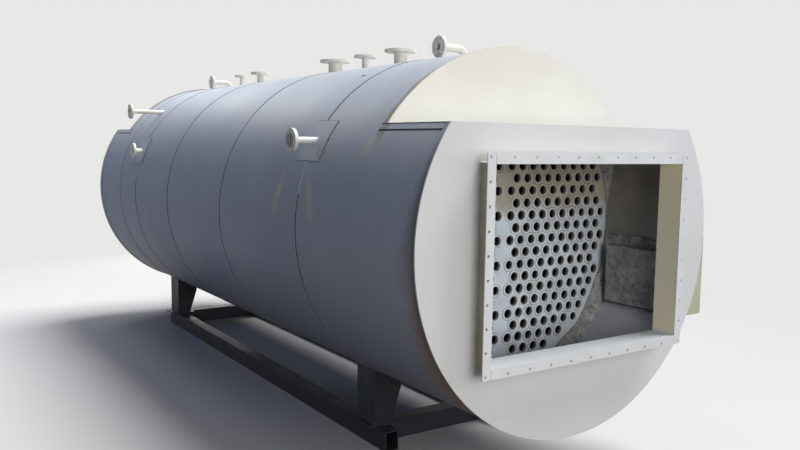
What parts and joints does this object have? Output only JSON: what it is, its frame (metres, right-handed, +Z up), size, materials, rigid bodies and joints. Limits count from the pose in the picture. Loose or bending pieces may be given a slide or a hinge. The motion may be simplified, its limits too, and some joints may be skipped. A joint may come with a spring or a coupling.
{
  "type": "horizontal fire-tube boiler",
  "caption": "Horizontal fire-tube boiler: a clad round barrel with flat-topped smokeboxes, flanged rectangular ducts, crown and side nozzles and a box-beam skid.",
  "frame": {"origin": "on the floor under the middle of the boiler's overall length, below the barrel's axis", "axes": "+Y along the barrel from the open front duct to the rear, +X to the right seen from the front, +Z up"},
  "size_m": [1.8, 5.069, 2.1505],
  "materials": {
    "shell_steel": "dark oxide skin on boiler plate",
    "tube_plate_steel": "machined and fired steel with rust",
    "tube_steel": "drawn steel with weld rings",
    "smokebox_steel": "rolled steel plate",
    "castable": "rough cast refractory",
    "cream_paint": "satin heat-proof cream paint",
    "flange_paint": "satin white paint",
    "wool": "mineral wool",
    "cladding": "stucco-free sheet with a soft sheen",
    "nozzle_steel": "primed pipe and flange",
    "skid_paint": "dark grey structural paint"
  },
  "bodies": {
    "root": {"pressure_shell": "shell_steel", "front_tube_plate": "tube_plate_steel", "rear_tube_plate": "tube_plate_steel", "fire_tubes": "tube_steel", "front_smokebox_wrapper": "smokebox_steel", "rear_smokebox_wrapper": "smokebox_steel", "front_smokebox_roof": "smokebox_steel", "rear_smokebox_roof": "smokebox_steel", "front_castable_ring": "castable", "rear_castable_ring": "castable", "front_plate": "cream_paint", "rear_plate": "cream_paint", "front_upper_plate": "cream_paint", "rear_upper_plate": "cream_paint", "front_duct_collar": "cream_paint", "rear_duct_collar": "cream_paint", "front_duct_flange": "flange_paint", "rear_duct_flange": "flange_paint", "barrel_insulation": "wool", "front_insulation": "wool", "rear_insulation": "wool", "cladding_sheet_1": "cladding", "cladding_sheet_2": "cladding", "cladding_sheet_3": "cladding", "cladding_sheet_4": "cladding", "cladding_sheet_5": "cladding", "cladding_sheet_6": "cladding", "front_flat_cover": "cladding", "rear_flat_cover": "cladding", "top_nozzle_1": "nozzle_steel", "top_nozzle_2": "nozzle_steel", "top_nozzle_3": "nozzle_steel", "top_nozzle_4": "nozzle_steel", "top_nozzle_5": "nozzle_steel", "front_elbow_nozzle": "nozzle_steel", "rear_elbow_nozzle": "nozzle_steel", "front_side_nozzle": "nozzle_steel", "rear_side_nozzle_upper": "nozzle_steel", "rear_side_nozzle_lower": "nozzle_steel", "nozzle_patches": "cladding", "cleanout_box": "cream_paint", "cleanout_cover": "cream_paint", "cleanout_plug": "castable", "front_left_leg": "skid_paint", "front_right_leg": "skid_paint", "rear_left_leg": "skid_paint", "rear_right_leg": "skid_paint", "left_beam": "skid_paint", "right_beam": "skid_paint", "front_cross_beam": "skid_paint", "rear_cross_beam": "skid_paint"}
  },
  "joints": []
}
